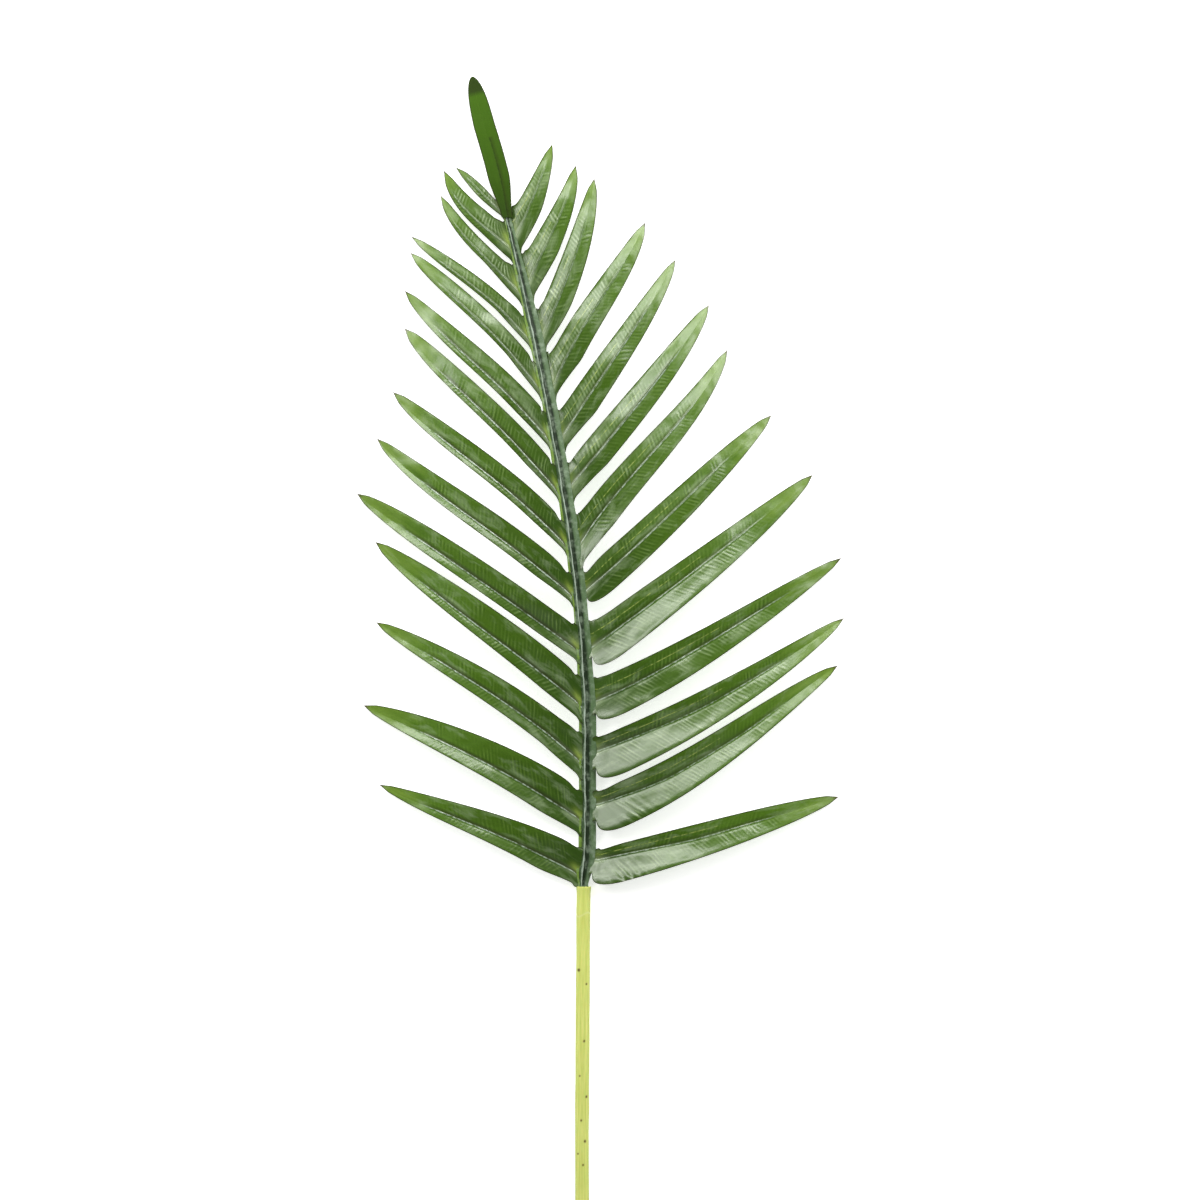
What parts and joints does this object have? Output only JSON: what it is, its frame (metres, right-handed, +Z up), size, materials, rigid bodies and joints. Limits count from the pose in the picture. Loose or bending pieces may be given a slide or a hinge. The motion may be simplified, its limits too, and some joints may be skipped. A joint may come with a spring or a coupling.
{
  "type": "feather palm leaf",
  "caption": "Feather palm leaf cut with its round stalk and laid on its back: folded narrow leaflets in two rows along an arched midrib, and a smooth end leaflet.",
  "frame": {"origin": "on the surface that the leaf lies on, under the ring scar of the stalk, 20 mm below the stalk's mouth", "axes": "+Y from the stalk's cut end towards the leaf's tip, +Z up from the surface out of the leaf's upper side, +X to the right of the leaf seen from above"},
  "size_m": [0.3514, 0.898, 0.0254],
  "materials": {
    "leaflet": "semi-gloss waxy leaf skin, mid green with a grey-green bloom, folded along its crease and finely ribbed",
    "end_leaflet": "smooth satin leaf skin, fresh yellow-green with a darker point",
    "midrib": "satin dark grey-green rib with a groove and yellow-green edges",
    "stalk": "smooth satin yellow-green stem skin with faint scars and small brown specks"
  },
  "bodies": {
    "root": {"stalk": "stalk", "midrib": "midrib", "leaflet_left_01": "leaflet", "leaflet_left_02": "leaflet", "leaflet_left_03": "leaflet", "leaflet_left_04": "leaflet", "leaflet_left_05": "leaflet", "leaflet_left_06": "leaflet", "leaflet_left_07": "leaflet", "leaflet_left_08": "leaflet", "leaflet_left_09": "leaflet", "leaflet_left_10": "leaflet", "leaflet_left_11": "leaflet", "leaflet_left_12": "leaflet", "leaflet_left_13": "leaflet", "leaflet_left_14": "leaflet", "leaflet_right_01": "leaflet", "leaflet_right_02": "leaflet", "leaflet_right_03": "leaflet", "leaflet_right_04": "leaflet", "leaflet_right_05": "leaflet", "leaflet_right_06": "leaflet", "leaflet_right_07": "leaflet", "leaflet_right_08": "leaflet", "leaflet_right_09": "leaflet", "leaflet_right_10": "leaflet", "leaflet_right_11": "leaflet", "leaflet_right_12": "leaflet", "leaflet_right_13": "leaflet", "leaflet_end": "end_leaflet"}
  },
  "joints": []
}
